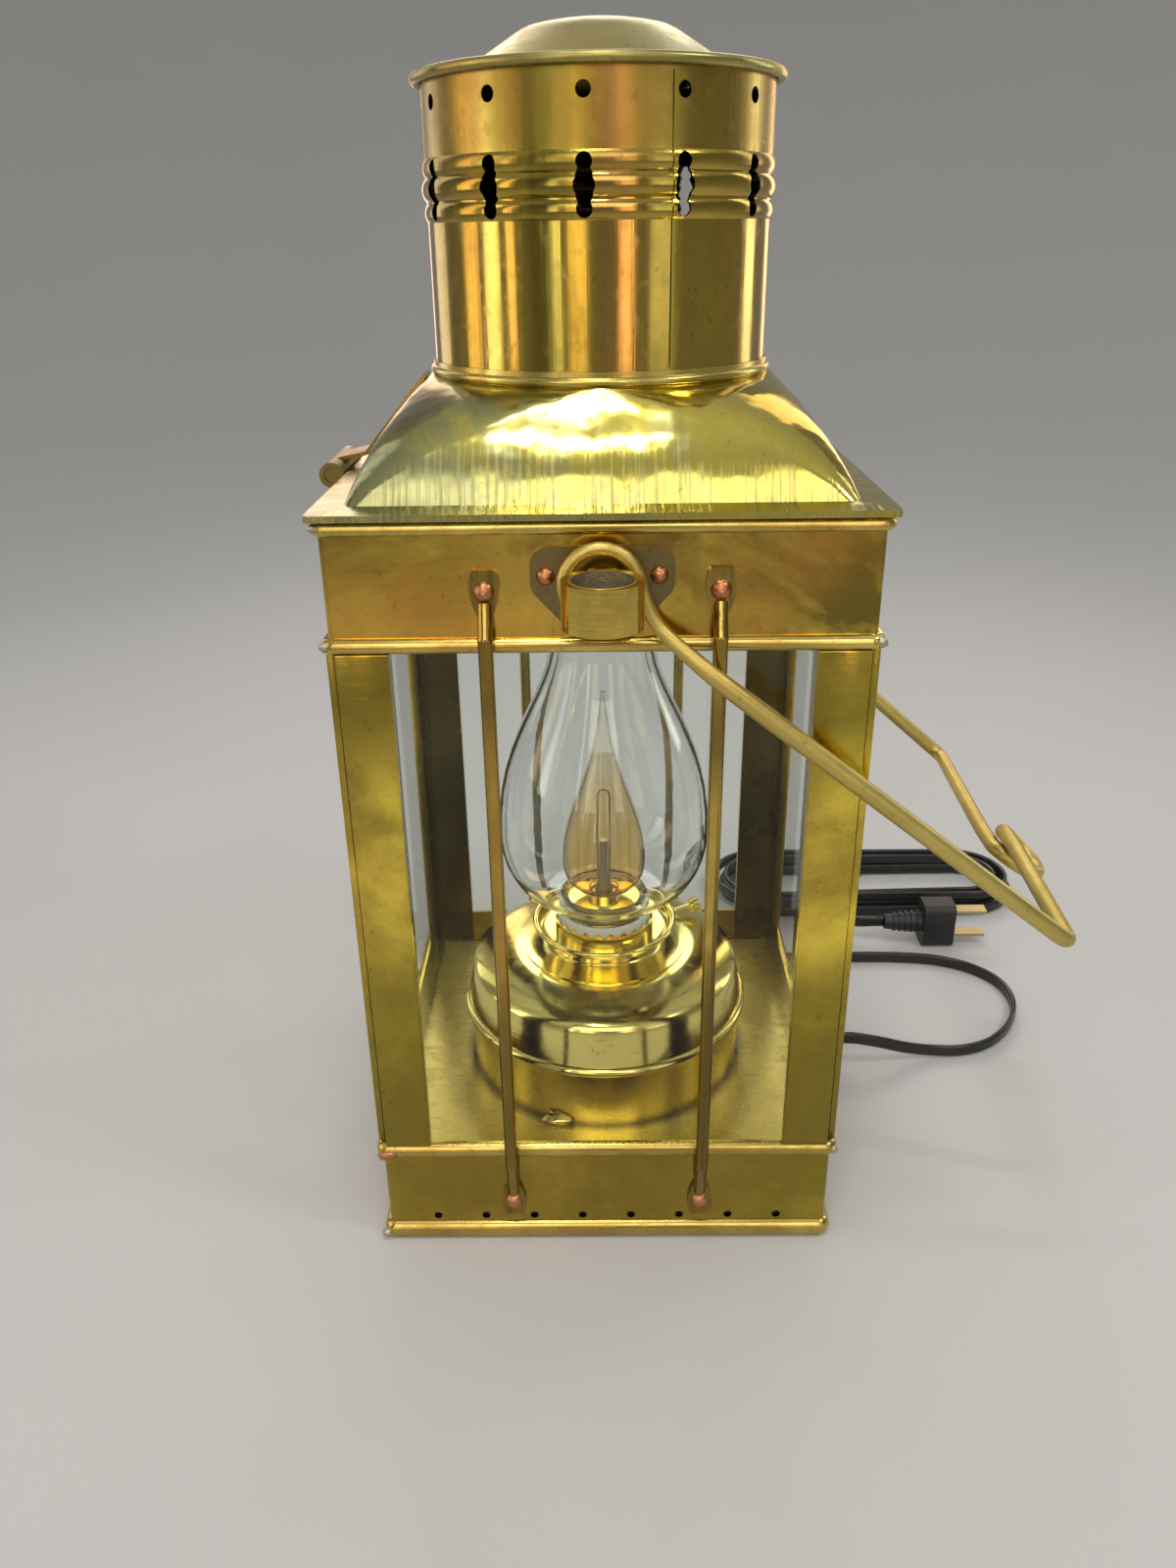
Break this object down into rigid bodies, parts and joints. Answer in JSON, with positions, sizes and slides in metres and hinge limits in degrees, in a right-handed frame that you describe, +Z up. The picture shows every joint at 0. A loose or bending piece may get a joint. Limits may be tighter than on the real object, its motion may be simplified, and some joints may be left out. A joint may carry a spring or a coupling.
{
  "type": "cargo lantern",
  "caption": "Square brass ship's cargo lantern with glazed sides and guard rods, hinged roof with a vent drum, a swinging wire bail, and an electric lamp inside on a mains cord",
  "frame": {"origin": "middle of the square bottom edge, on the surface it stands on", "axes": "+X to the right seen from the front, +Y from the front to the rear, +Z up; the front is towards -Y and the lid's hinge is on the left"},
  "size_m": [0.3022, 0.2982, 0.3746],
  "materials": {
    "polished_brass": "polished, with light tarnish and scratches",
    "dull_brass": "dull, greenish brown tarnish",
    "bail_wire": "matt, scratched drawn wire",
    "copper_rivets": "hammered copper-coloured rivet",
    "clear_glass": "clear",
    "white_ring": "matt white",
    "lamp_metal": "bright thin sheet",
    "filament": "fine wire and glass stem",
    "black_cord": "smooth black jacket",
    "blade_brass": "bright"
  },
  "bodies": {
    "lantern": {"base_skirt": "polished_brass", "base_bead": "polished_brass", "sill_bead": "polished_brass", "floor_plate": "polished_brass", "corner_post_front_left": "dull_brass", "corner_post_front_right": "dull_brass", "corner_post_rear_left": "dull_brass", "corner_post_rear_right": "dull_brass", "strips_front": "polished_brass", "strips_right": "polished_brass", "strips_rear": "polished_brass", "strips_left": "polished_brass", "glass_front": "clear_glass", "glass_right": "clear_glass", "glass_rear": "clear_glass", "glass_left": "clear_glass", "frieze": "polished_brass", "frieze_bead": "polished_brass", "top_bead": "polished_brass", "guard_rods_front": "polished_brass", "guard_rods_right": "polished_brass", "guard_rods_rear": "polished_brass", "guard_rods_left": "polished_brass", "guard_rivets": "copper_rivets", "lug_plate_front": "dull_brass", "lug_plate_rear": "dull_brass", "lug_barrel_front": "polished_brass", "lug_barrel_rear": "polished_brass", "lug_rivets": "copper_rivets", "hinge_leaf": "dull_brass", "hinge_pin": "dull_brass", "font_drum": "polished_brass", "font_dome": "polished_brass", "burner_collar": "polished_brass", "burner_gallery": "polished_brass", "knob_bush": "polished_brass", "seat_ring": "white_ring", "glass_chimney": "clear_glass", "lamp_socket": "lamp_metal", "bulb_base": "lamp_metal", "bulb_glass": "clear_glass", "bulb_filament": "filament", "lamp_nipple": "lamp_metal", "inner_lead": "black_cord", "cord_bushing": "black_cord", "cord_lead": "black_cord", "cord_hank": "black_cord", "hank_tie": "black_cord", "cord_tail": "black_cord", "plug_body": "black_cord", "plug_blades": "blade_brass"},
    "lid": {"roof": "polished_brass", "drum_collar": "polished_brass", "vent_drum": "polished_brass", "vent_cap": "dull_brass", "hinge_strap": "dull_brass"},
    "bail": {"bail": "bail_wire"},
    "knob": {"wick_knob": "polished_brass"}
  },
  "joints": [
    {"name": "bail_swing", "type": "hinge", "parent": "lantern", "child": "bail", "pos_m": [0, 0, 0.2353], "axis": [0, -1, 0], "range_deg": [0, 256]},
    {"name": "lid_hinge", "type": "hinge", "parent": "lantern", "child": "lid", "pos_m": [-0.0834, 0, 0.25335], "axis": [0, -1, 0], "range_deg": [0, 110]},
    {"name": "knob_turn", "type": "hinge", "parent": "lantern", "child": "knob", "pos_m": [0, 0, 0.0768], "axis": [0.866, 0.5, 0], "continuous": true}
  ]
}
